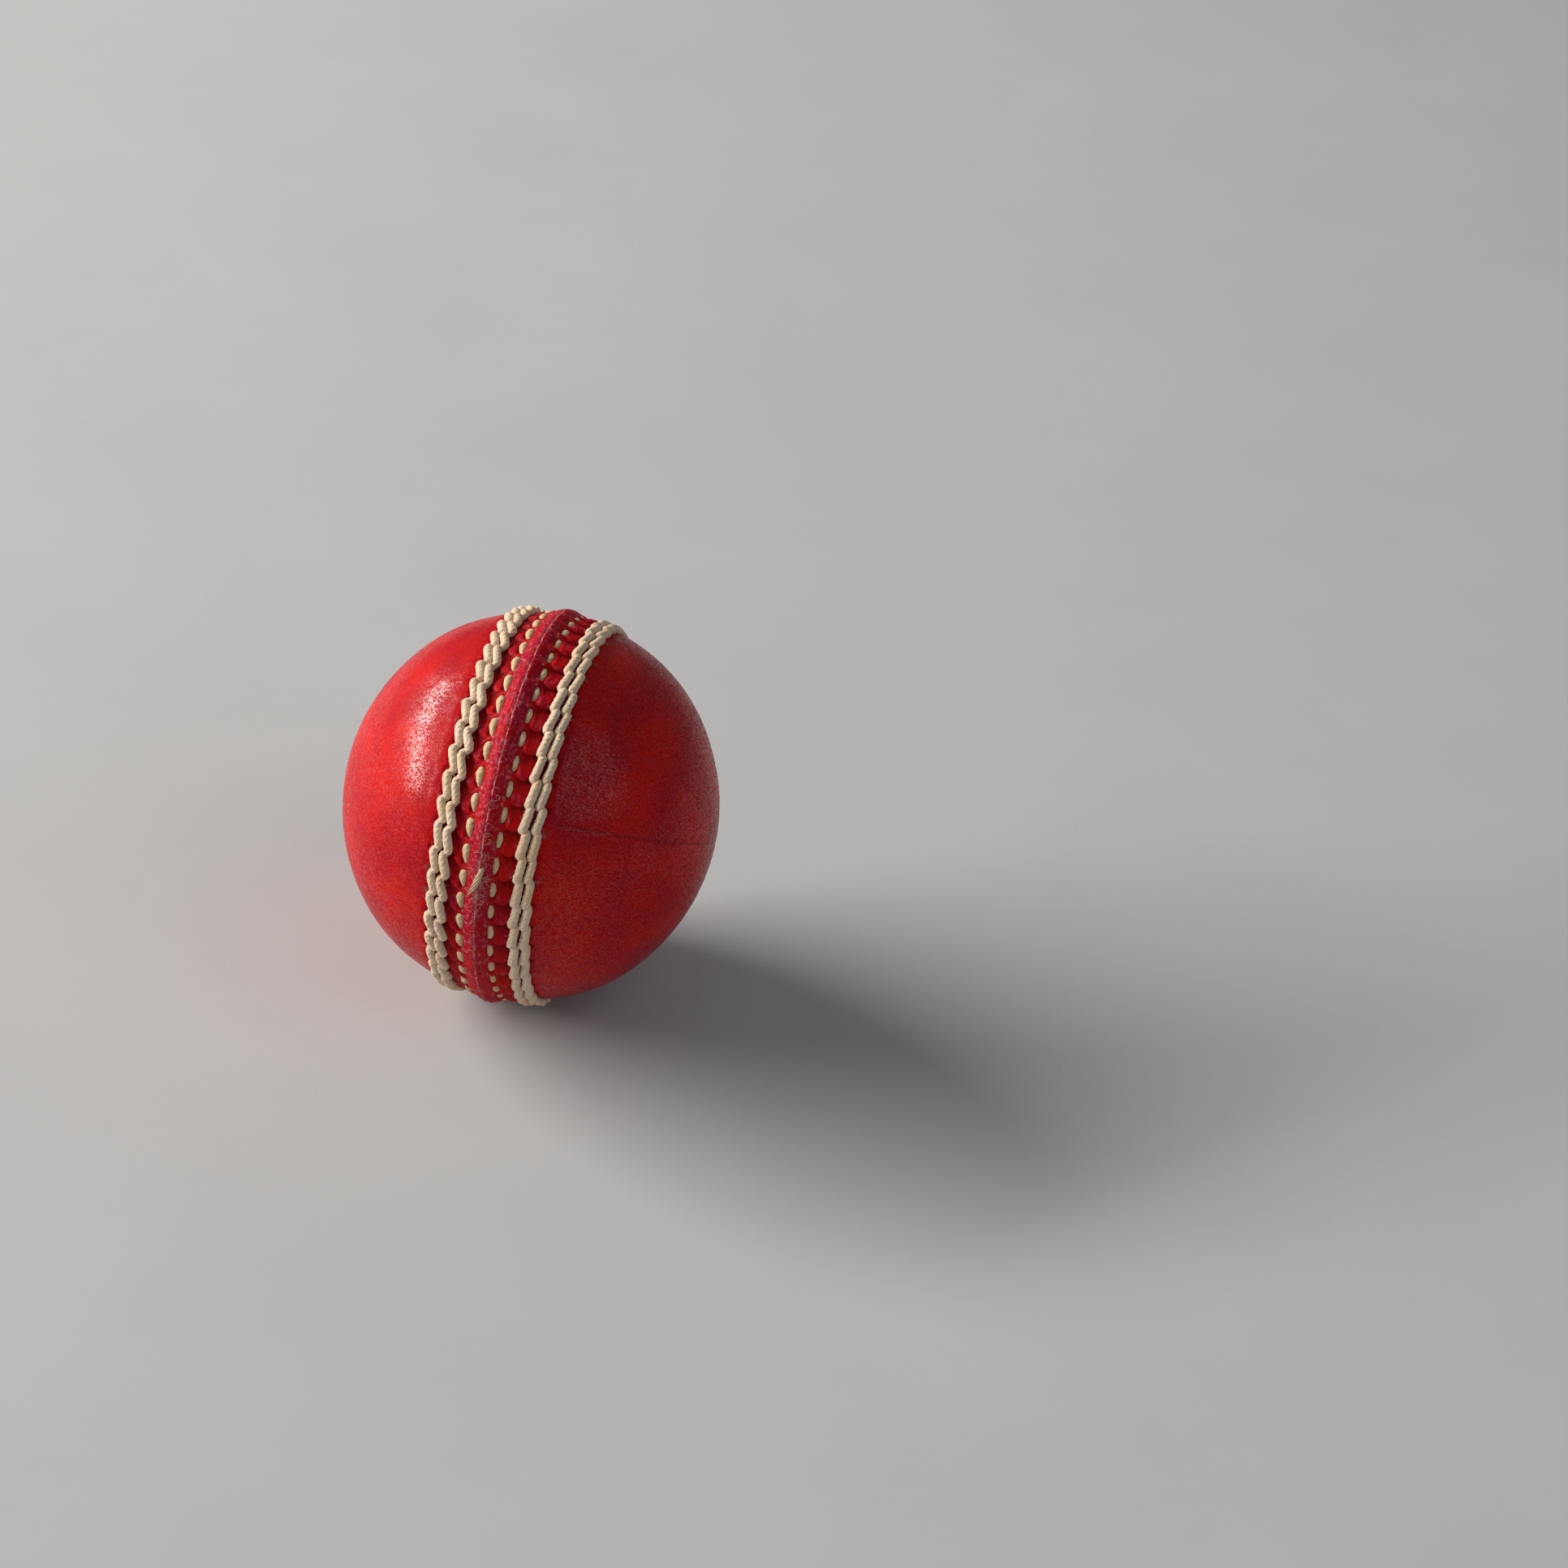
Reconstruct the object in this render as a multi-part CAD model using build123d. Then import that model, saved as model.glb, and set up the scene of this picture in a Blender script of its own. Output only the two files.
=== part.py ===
from build123d import *
import os
from math import asin, cos, degrees, pi, radians, sin

# A hand-stitched four-piece cricket ball, in millimetres.
# The origin is the ball's centre. X is the axis through both cups, so the seam lies in the YZ plane,
# and the ball stands on its seam with +Z up. Around the seam, angles run from +Y towards +Z.

# Driving dimensions: radii of the ball
POLE_RADIUS = 34.6  # leather at the two poles, the ball's narrow way
SHOULDER_RADIUS = 35.6  # leather beside the stitching
RIDGE_RADIUS = 36.9  # top of the ridge where the two cups meet
RIDGE_DROP = 0.7  # how far the ridge's rounded top falls to its flanks
PILLOW_HEIGHT = 0.5  # how far the leather between two rows stands above the shoulder
LEATHER_INNER_RADIUS = 31.25
CORK_CORE_RADIUS = 14.0

# Layers round the nucleus
LAYERS = 5
CORK_THICKNESS = 1.45
YARN_THICKNESS = 1.88
LAYER_GAP = 0.05
CORK_STRIPS = 6
CORK_SLIT = 0.5  # gap between neighbouring strips
CORK_POLE_ANGLE = 6.0  # half-angle left open where the strips' tips meet

# Stitching
STITCHES = 48
PITCH = 360 / STITCHES
OUTER_THREAD_RADIUS = 0.85
OUTER_CREST_RADIUS = 36.05  # centre line of a stitch where it lies on the leather
OUTER_DIP = 1.2  # how far the centre line's corner goes down between two stitches
OUTER_HALF_GAP = 1.58  # degrees from a hole to the end of the straight stitch
OUTER_SLANT = 0.67  # degrees of latitude that each stitch end lies off its row
OUTER_LATITUDES = (11.2, 14.4)
OUTER_BENDS = (0.98, 0.92, 0.98)  # bend radii at a stitch's end, in the hole and at the next start
STRAND_RADIUS = 0.475
STRAND_OFFSET = 0.69  # how far the two strands stand apart in a hole, each from its centre
STRAND_RIDGE_X = 2.75  # the strands' distance from the join along the ridge's flanks
STRAND_CREST_RADIUS = 35.7
HOLE_CENTRE_RADIUS = 35.2
STRAND_BENDS = (0.6, 2.0, 0.6)  # bend radii into the hole, half-way and out of it

# Where the holes of each row lie, in degrees round the seam
PRIMARY_PHASE = 5.75
OUTER_PHASES = {"left": 2.0, "right": 5.75}

# Leather
FIT = 0.05  # clearance between a thread and the leather round it
JOIN_GAP = 0.02
QUARTER_PLANES = {"left": 63.9, "right": 152.0}  # where each cup's own join meets the seam
TRENCH_RADIUS = OUTER_CREST_RADIUS - OUTER_THREAD_RADIUS - FIT
POCKET_RADIUS = 1.45
POCKET_DEPTH = 0.85
HOLE_RADIUS = 1.38

# Hidden joins inside the cups
QUARTER_THREAD_RADIUS = 0.4
QUARTER_THREAD_CENTRE = 32.1
QUARTER_STITCH_STEP = 5.0  # degrees from one crossing to the next
QUARTER_HALF_WIDTH = 1.5
QUARTER_END_LATITUDE = 22.0
QUARTER_BEND = 0.6

os.makedirs("parts", exist_ok=True)


def polar(radius, latitude, angle):
    """The point at a latitude from the seam plane and an angle round the seam."""
    across = radius * sin(radians(latitude))
    out = radius * cos(radians(latitude))
    return Vector(across, out * cos(radians(angle)), out * sin(radians(angle)))


def on_seam(x, radius, angle):
    """The point at a distance x from the join and a radius from the ball's axis."""
    return Vector(x, radius * cos(radians(angle)), radius * sin(radians(angle)))


def tube(points, bends, radius):
    """A round thread along straight runs joined by tangent arcs."""
    path = FilletPolyline(*points, radius=bends).wire()
    section = Plane(path @ 0, z_dir=path % 0) * Circle(radius)
    return sweep(section, path=path)


def ring(outer, inner, start_latitude, end_latitude, sweep_angle):
    """Part of a hollow ball, turned about the X axis between two latitudes."""
    start = polar(1, start_latitude, 0)
    middle = polar(1, (start_latitude + end_latitude) / 2, 0)
    end = polar(1, end_latitude, 0)
    outline = Line(start * inner, start * outer)
    outline += ThreePointArc(start * outer, middle * outer, end * outer)
    outline += Line(end * outer, end * inner)
    outline += ThreePointArc(end * inner, middle * inner, start * inner)
    return revolve(make_face(outline), axis=Axis.X, revolution_arc=sweep_angle)


def shell(outer, inner):
    """A whole hollow ball."""
    return Sphere(outer) - Sphere(inner)


def cork_wrap(outer, inner, turned):
    """Six strips of cork laid from pole to pole like peel, with a slit between neighbours."""
    slit = degrees(CORK_SLIT / outer)
    strip = ring(outer, inner, CORK_POLE_ANGLE - 90, 90 - CORK_POLE_ANGLE, 360 / CORK_STRIPS - slit)
    strips = [Rot(X=360 * i / CORK_STRIPS) * strip for i in range(CORK_STRIPS)]
    return Compound([Rot(Z=turned) * s.solid() for s in strips])


def repeated(unit, count):
    """Copies of one length of thread, end to end round the seam, joined into one closed thread."""
    copies = [Rot(X=360 * i / count) * unit for i in range(count)]
    return copies[0].fuse(*copies[1:])


def outer_row(side, latitude, phase):
    """One closed thread of slanted stitches that dip into a hole between each two."""
    far = side * (latitude + OUTER_SLANT)
    near = side * (latitude - OUTER_SLANT)
    last_start = polar(OUTER_CREST_RADIUS, far, phase - PITCH + OUTER_HALF_GAP)
    last_end = polar(OUTER_CREST_RADIUS, near, phase - OUTER_HALF_GAP)
    in_hole = polar(OUTER_CREST_RADIUS - OUTER_DIP, side * latitude, phase)
    next_start = polar(OUTER_CREST_RADIUS, far, phase + OUTER_HALF_GAP)
    next_end = polar(OUTER_CREST_RADIUS, near, phase + PITCH - OUTER_HALF_GAP)
    middle = (last_start + last_end) / 2
    points = [middle, last_end, in_hole, next_start, (next_start + next_end) / 2]
    return repeated(tube(points, OUTER_BENDS, OUTER_THREAD_RADIUS), STITCHES)


def primary_strand(side):
    """One strand of the saddle stitch: it crosses the join at every hole, over or under its twin."""
    step = degrees(STRAND_OFFSET / STRAND_CREST_RADIUS)
    crossing = HOLE_CENTRE_RADIUS + side * STRAND_OFFSET
    flank = side * STRAND_RIDGE_X
    chord_radius = STRAND_CREST_RADIUS * cos(radians(PITCH / 2 - step))
    points = [on_seam(flank, chord_radius, PRIMARY_PHASE - PITCH / 2)]
    for hole in (PRIMARY_PHASE, PRIMARY_PHASE + PITCH):
        points.append(on_seam(flank, STRAND_CREST_RADIUS, hole - step))
        points.append(on_seam(0, crossing, hole))
        flank = -flank
        points.append(on_seam(flank, STRAND_CREST_RADIUS, hole + step))
    points.append(points[0].rotate(Axis.X, 2 * PITCH))
    return repeated(tube(points, STRAND_BENDS * 2, STRAND_RADIUS), STITCHES // 2)


def cup_section():
    """The right cup's section: ridge, groove, pillow, trench and dome, from the join to the pole."""
    flank_x = STRAND_RIDGE_X - STRAND_RADIUS - FIT
    groove_floor = STRAND_CREST_RADIUS - STRAND_RADIUS - FIT
    half_trench = degrees((OUTER_THREAD_RADIUS + FIT) / OUTER_CREST_RADIUS) + OUTER_SLANT
    trench_start = OUTER_LATITUDES[0] - half_trench
    trench_end = OUTER_LATITUDES[1] + half_trench
    ridge_edge = Vector(flank_x, RIDGE_RADIUS - RIDGE_DROP, 0)
    groove_in = Vector(flank_x, groove_floor, 0)
    groove_out = Vector(STRAND_RIDGE_X + STRAND_RADIUS + FIT, groove_floor, 0)
    bank_latitude = degrees(asin(groove_out.X / SHOULDER_RADIUS)) + 0.1
    bank = polar(SHOULDER_RADIUS - 0.1, bank_latitude, 0)
    pillow_top = polar(SHOULDER_RADIUS + PILLOW_HEIGHT, (bank_latitude + trench_start) / 2, 0)
    pillow_end = polar(SHOULDER_RADIUS + 0.1, trench_start, 0)
    shoulder = polar(SHOULDER_RADIUS, trench_end, 0)
    pole = Vector(POLE_RADIUS, 0, 0)
    inner_pole = Vector(LEATHER_INNER_RADIUS, 0, 0)
    inner_join = Vector(JOIN_GAP, LEATHER_INNER_RADIUS, 0)
    outline = Line(inner_join, (JOIN_GAP, RIDGE_RADIUS))
    outline += TangentArc((JOIN_GAP, RIDGE_RADIUS), ridge_edge, tangent=(1, 0))
    outline += Line(ridge_edge, groove_in)
    outline += Line(groove_in, groove_out)
    outline += Line(groove_out, bank)
    outline += ThreePointArc(bank, pillow_top, pillow_end)
    outline += Line(pillow_end, polar(TRENCH_RADIUS, trench_start, 0))
    outline += Line(polar(TRENCH_RADIUS, trench_start, 0), polar(TRENCH_RADIUS, trench_end, 0))
    outline += Line(polar(TRENCH_RADIUS, trench_end, 0), shoulder)
    outline += Spline(
        shoulder,
        polar(SHOULDER_RADIUS, 30, 0),
        polar(SHOULDER_RADIUS - 0.5, 50, 0),
        polar(POLE_RADIUS + 0.12, 68, 0),
        pole,
        tangents=[(cos(radians(trench_end)), -sin(radians(trench_end))), (0, -1)],
    )
    outline += Line(pole, inner_pole)
    outline += ThreePointArc(inner_pole, polar(LEATHER_INNER_RADIUS, 45, 0), inner_join)
    return make_face(outline)


def stitch_pockets(side, phase):
    """The holes that the two outer rows dip into."""
    height = RIDGE_RADIUS - TRENCH_RADIUS + POCKET_DEPTH
    pockets = []
    for latitude in OUTER_LATITUDES:
        for i in range(STITCHES):
            out = polar(1, side * latitude, phase + PITCH * i)
            mouth = Plane(out * (TRENCH_RADIUS - POCKET_DEPTH), z_dir=out) * Circle(POCKET_RADIUS)
            pockets.append(extrude(mouth, height))
    return pockets


def primary_holes(side):
    """The holes across the ridge that the two strands share."""
    depth = STRAND_RIDGE_X + 2 * STRAND_RADIUS
    holes = []
    for i in range(STITCHES):
        centre = on_seam(0, HOLE_CENTRE_RADIUS, PRIMARY_PHASE + PITCH * i)
        holes.append(extrude(Plane(centre, z_dir=(side, 0, 0)) * Circle(HOLE_RADIUS), depth))
    return holes


def quarter_thread(side, plane_angle):
    """The hidden thread that whips a cup's two quarters together from the inside, over the pole."""
    half_turn = degrees(QUARTER_HALF_WIDTH / QUARTER_THREAD_CENTRE)
    crossings = round((180 - 2 * QUARTER_END_LATITUDE) / QUARTER_STITCH_STEP)
    points = []
    for i in range(crossings + 1):
        along = radians(QUARTER_END_LATITUDE + QUARTER_STITCH_STEP * i)
        offset = radians(half_turn if i % 2 else -half_turn)
        place = Vector(side * sin(along) * cos(offset), cos(along) * cos(offset), sin(offset))
        points.append(place * QUARTER_THREAD_CENTRE)
    thread = tube(points, [QUARTER_BEND] * (len(points) - 2), QUARTER_THREAD_RADIUS)
    return Rot(X=plane_angle) * thread


def quarter_channel(plane_angle):
    """The room inside the leather that the hidden thread takes."""
    width = 2 * (QUARTER_HALF_WIDTH + 2 * QUARTER_THREAD_RADIUS)
    floor = QUARTER_THREAD_CENTRE + QUARTER_THREAD_RADIUS + FIT
    reach = 2 * floor * cos(radians(QUARTER_END_LATITUDE - QUARTER_STITCH_STEP / 2))
    band = Cylinder(floor, width) - Cylinder(LEATHER_INNER_RADIUS - 1, width)
    return Rot(X=plane_angle) * (band & Box(2 * RIDGE_RADIUS, reach, width))


def leather_quarters(side, phase, plane_angle):
    """A cup's two quarters, each half of the turned cup, with its stitch holes."""
    section = cup_section()
    if side < 0:
        section = mirror(section, about=Plane.YZ)
    half = revolve(section, axis=Axis.X, revolution_arc=180)
    cutters = stitch_pockets(side, phase) + primary_holes(side)
    cutters.append(quarter_channel(plane_angle))
    return [Rot(X=plane_angle + turn) * half - cutters for turn in (0, 180)]


def save(name, shape):
    export_step(shape, f"parts/{name}.step")


save("cork_core", Sphere(CORK_CORE_RADIUS))
radius = CORK_CORE_RADIUS
for layer in range(1, LAYERS + 1):
    inner = radius + LAYER_GAP
    radius = inner + CORK_THICKNESS
    save(f"cork_wrap_{layer}", cork_wrap(radius, inner, 90 * (layer % 2)))
    inner = radius + LAYER_GAP
    radius = inner + YARN_THICKNESS
    save(f"yarn_winding_{layer}", shell(radius, inner))
print("wound core radius", round(radius, 3), "inside leather of", LEATHER_INNER_RADIUS)

for name, side in (("left", -1), ("right", 1)):
    plane = QUARTER_PLANES[name]
    phase = OUTER_PHASES[name]
    for letter, quarter in zip("ab", leather_quarters(side, phase, plane)):
        save(f"leather_quarter_{name}_{letter}", quarter)
    save(f"quarter_seam_thread_{name}", quarter_thread(side, plane))
    for place, latitude in zip(("inner", "outer"), OUTER_LATITUDES):
        save(f"{place}_stitch_row_{name}", outer_row(side, latitude, phase))

save("primary_seam_strand_a", primary_strand(1))
save("primary_seam_strand_b", primary_strand(-1))
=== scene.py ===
import math

import bpy
import numpy as np
from mathutils import Matrix, Vector


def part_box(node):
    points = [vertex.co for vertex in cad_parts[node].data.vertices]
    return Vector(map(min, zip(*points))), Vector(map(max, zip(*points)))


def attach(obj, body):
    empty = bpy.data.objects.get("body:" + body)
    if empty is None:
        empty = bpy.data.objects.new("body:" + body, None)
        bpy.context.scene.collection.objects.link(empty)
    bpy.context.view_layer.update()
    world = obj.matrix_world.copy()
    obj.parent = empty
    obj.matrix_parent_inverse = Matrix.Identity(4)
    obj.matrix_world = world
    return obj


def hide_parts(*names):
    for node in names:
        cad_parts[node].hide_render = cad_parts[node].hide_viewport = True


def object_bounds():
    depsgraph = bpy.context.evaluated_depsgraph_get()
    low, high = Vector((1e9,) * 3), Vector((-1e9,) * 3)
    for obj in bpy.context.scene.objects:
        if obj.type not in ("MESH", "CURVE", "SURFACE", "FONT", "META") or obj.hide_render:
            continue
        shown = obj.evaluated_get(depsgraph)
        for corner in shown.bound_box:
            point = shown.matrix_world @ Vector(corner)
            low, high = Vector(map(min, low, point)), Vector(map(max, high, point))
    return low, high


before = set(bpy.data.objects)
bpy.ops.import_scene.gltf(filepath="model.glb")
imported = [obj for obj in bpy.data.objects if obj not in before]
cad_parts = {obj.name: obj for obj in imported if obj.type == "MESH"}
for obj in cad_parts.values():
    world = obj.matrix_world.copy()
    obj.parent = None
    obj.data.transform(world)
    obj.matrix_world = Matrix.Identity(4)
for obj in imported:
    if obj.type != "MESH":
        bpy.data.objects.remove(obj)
cad_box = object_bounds()

# Lengths below are in millimetres and angles in degrees, until a mesh is made.
# X is the ball's axis, and angles round the seam run from +Y towards +Z.
MM = 0.001
BODY = "root"
RIDGE = cad_box[1].z / MM  # radius of the ridge where the two cups meet
POLE = cad_box[1].x / MM
LEATHER_THICKNESS = 3.35
LEATHER_INSIDE = POLE - LEATHER_THICKNESS
CUP_GAP = 0.006  # how far each cup stands off the seam's plane
SEAM_RADIUS = 36.0  # distances across the seam are measured along a circle of this radius
STITCHES = 48
PITCH = 360 / STITCHES
STITCH_LENGTH = math.radians(PITCH) * SEAM_RADIUS
SIDES = {"left": -1, "right": 1}
QUARTER_PLANES = {"left": 63.9, "right": 152.0}  # where each cup's own join meets the seam
QUARTER_GAP = 0.008  # angle left open at each side of that join
PRIMARY_PHASE = 5.75  # where the first hole of the inner stitches lies
PRIMARY_SKEW = {"left": -1.7, "right": 0}  # the holes run slantwise through the ridge
OUTER_PHASES = {  # where the first hole of each outer row lies
    ("inner", "left"): 1.5,
    ("outer", "left"): 0.4,
    ("inner", "right"): 5.75,
    ("outer", "right"): 5.75,
}
OUTER_ROWS = {  # distance of each outer row from the join
    ("inner", "left"): 6.75,
    ("outer", "left"): 8.62,
    ("inner", "right"): 6.98,
    ("outer", "right"): 8.95,
}
# The visible inner stitches: distance from the join, half-width, and share of the pitch closed at each end
BEADS = {"left": (2.88, 0.76, 0.085), "right": (2.68, 0.64, 0.11)}
PILLOW_HEIGHTS = {"left": 0.42, "right": 0.62}
BED_DEPTH = 0.5  # hollow under each inner stitch
LOBE_HEIGHT = 0.3  # leather that closes each end of that hollow
WEDGE_DEPTH = 0.22  # hollow at each hole between the pillows and the outer rows
SQUEEZED_HEIGHT = 0.34  # leather pressed up between the two outer rows
PIT_DEPTH = 0.26  # pits beside the outermost row
QUARTER_JOIN_DEPTH = 0.08
FRAYED = 170  # the angle where the join is most frayed
LOOSE_PLIES = 7
RIDGE_FIBRES = 64  # on each strand of the inner stitches
LOOSE_END_FIBRES = 30
ROW_FIBRES = 90  # on each outer row


# ---------------------------------------------------------------- numbers and curves


def smoothstep(low, high, value):
    t = np.clip((value - low) / (high - low), 0, 1)
    return t * t * (3 - 2 * t)


def bell(value, width):
    return np.exp(-((value / width) ** 2))


def smooth_curve(x, knots):
    """A smooth curve through (x, y) knots."""
    xs, ys = np.array(knots, float).T
    slopes = np.gradient(ys, xs)
    i = np.clip(np.searchsorted(xs, x) - 1, 0, len(xs) - 2)
    step = xs[i + 1] - xs[i]
    t = np.clip((x - xs[i]) / step, 0, 1)
    start = (1 + 2 * t) * (1 - t) ** 2 * ys[i] + t * (1 - t) ** 2 * step * slopes[i]
    end = t * t * (3 - 2 * t) * ys[i + 1] + t * t * (t - 1) * step * slopes[i + 1]
    return start + end


def ripple(points, wavelength, seed, waves=14):
    """Smooth noise in space, about -1 to 1, made of waves in random directions."""
    rng = np.random.default_rng(seed)
    directions = rng.normal(size=(waves, 3))
    directions /= np.linalg.norm(directions, axis=1)[:, None]
    numbers = 2 * math.pi / wavelength * rng.uniform(0.6, 1.5, waves)
    phases = rng.uniform(0, 2 * math.pi, waves)
    total = sum(np.sin(points @ (d * n) + p) for d, n, p in zip(directions, numbers, phases))
    return total / math.sqrt(waves)


def closed_curve(controls, steps):
    """A smooth closed curve through rows of control values."""
    before, after = np.roll(controls, 1, axis=0), np.roll(controls, -1, axis=0)
    later = np.roll(controls, -2, axis=0)
    t = (np.arange(steps) / steps)[None, :, None]
    a, b, c, d = (v[:, None, :] for v in (before, controls, after, later))
    curve = 0.5 * (2 * b + (c - a) * t + (2 * a - 5 * b + 4 * c - d) * t**2 + (3 * b - a - 3 * c + d) * t**3)
    return curve.reshape(-1, controls.shape[1])


def from_polar(radius, across, angle, side=1):
    """Points from a radius, a distance across the seam and an angle round it."""
    radius, across, angle = np.broadcast_arrays(radius, across, angle)
    latitude = across / SEAM_RADIUS
    turn = np.radians(angle)
    out = radius * np.cos(latitude)
    return np.stack([side * radius * np.sin(latitude), out * np.cos(turn), out * np.sin(turn)], axis=-1)


# ---------------------------------------------------------------- meshes


def make_mesh(name, points, quads, triangles, attributes):
    """A smooth mesh object from arrays, with float or vector values at its points."""
    quads = np.asarray(quads, np.int32).reshape(-1, 4)
    triangles = np.asarray(triangles, np.int32).reshape(-1, 3)
    mesh = bpy.data.meshes.new(name)
    mesh.vertices.add(len(points))
    mesh.vertices.foreach_set("co", (np.asarray(points) * MM).astype(np.float32).ravel())
    mesh.loops.add(quads.size + triangles.size)
    mesh.loops.foreach_set("vertex_index", np.concatenate([quads.ravel(), triangles.ravel()]))
    starts = np.concatenate([np.arange(len(quads)) * 4, quads.size + np.arange(len(triangles)) * 3])
    mesh.polygons.add(len(starts))
    mesh.polygons.foreach_set("loop_start", starts.astype(np.int32))
    mesh.update(calc_edges=True)
    mesh.validate()
    mesh.shade_smooth()
    for key, values in attributes.items():
        values = np.asarray(values, np.float32)
        kind, slot = ("FLOAT", "value") if values.ndim == 1 else ("FLOAT_VECTOR", "vector")
        mesh.attributes.new(key, kind, "POINT").data.foreach_set(slot, values.ravel())
    piece = bpy.data.objects.new(name, mesh)
    bpy.context.collection.objects.link(piece)
    return piece


def outward(points, quads, triangles):
    """The same faces, all turned so that they look outward."""
    corners = np.concatenate([quads[:, [0, 1, 2]], quads[:, [0, 2, 3]], triangles])
    a, b, c = (points[corners[:, i]] for i in range(3))
    if np.einsum("ij,ij->i", a, np.cross(b, c)).sum() < 0:
        return quads[:, ::-1], triangles[:, ::-1]
    return quads, triangles


def zip_strip(first, first_at, second, second_at):
    """Triangles between two rows of points that run the same way but have different numbers of points."""
    faces, i, j = [], 0, 0
    while i < len(first) - 1 or j < len(second) - 1:
        if j == len(second) - 1 or (i < len(first) - 1 and first_at[i + 1] <= second_at[j + 1]):
            faces.append((first[i], second[j], first[i + 1]))
            i += 1
        else:
            faces.append((first[i], second[j], second[j + 1]))
            j += 1
    return faces


def strip(first, second):
    """Quads between two rows of points that match."""
    return np.stack([first[:-1], second[:-1], second[1:], first[1:]], axis=1)


def place(piece, node, material):
    """Gives a piece its material and puts it in place of its CAD node."""
    piece.data.materials.append(material)
    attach(piece, BODY)
    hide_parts(node)


# ---------------------------------------------------------------- where the holes lie


def hole_angles(phase, wander, seed):
    """The angles of one row's holes round the seam, a little uneven, as sewn by hand."""
    rng = np.random.default_rng(seed)
    return phase + PITCH * np.arange(STITCHES) + np.clip(rng.normal(0, wander, STITCHES), -0.8, 0.8)


def stitch_number(angle, holes):
    """A count that is a whole number at each hole and grows as the angle falls."""
    every = np.concatenate([holes - 360, holes, holes + 360])
    return -np.interp(np.mod(angle, 360), every, np.arange(-STITCHES, 2 * STITCHES))


PRIMARY_HOLES = hole_angles(PRIMARY_PHASE, 0.22, 11)
OUTER_HOLES = {key: hole_angles(phase, 0.28, 21 + i) for i, (key, phase) in enumerate(OUTER_PHASES.items())}

# ---------------------------------------------------------------- leather

# The leather's radius by distance from the join, with each pillow at its lowest
PROFILE = [
    (0, RIDGE - 0.09),
    (0.1, RIDGE - 0.02),
    (0.28, RIDGE),
    (0.7, RIDGE - 0.1),
    (1.1, RIDGE - 0.26),
    (1.5, RIDGE - 0.44),
    (2.0, RIDGE - 0.68),
    (2.4, 36.02),
    (2.85, 35.84),
    (3.4, 35.66),
    (4.0, 35.5),
    (5.0, 35.42),
    (5.8, 35.36),
    (6.3, 35.25),
    (6.9, 35.15),
    (7.5, 35.3),
    (7.85, 35.38),
    (8.2, 35.3),
    (8.8, 35.15),
    (9.4, 35.36),
    (9.9, 35.6),
    (10.5, 35.67),
    (12.5, 35.65),
    (18.85, 35.6),
    (25.1, 35.42),
    (31.4, 35.12),
    (37.7, 34.84),
    (47.0, POLE + 0.05),
    (57.0, POLE),
]
TO_POLE = math.pi / 2 * SEAM_RADIUS
LEATHER_GRID = [  # rows of points: distances from the join, step between rows, and columns
    (0, 10.9, 0.14, 768),
    (10.9, 16, 0.28, 384),
    (16, 34, 0.5, 180),
    (34, 50, 0.8, 90),
    (50, 56, 0.9, 30),
]
LINING_ROWS = 24
LINING_COLUMNS = 60


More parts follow.
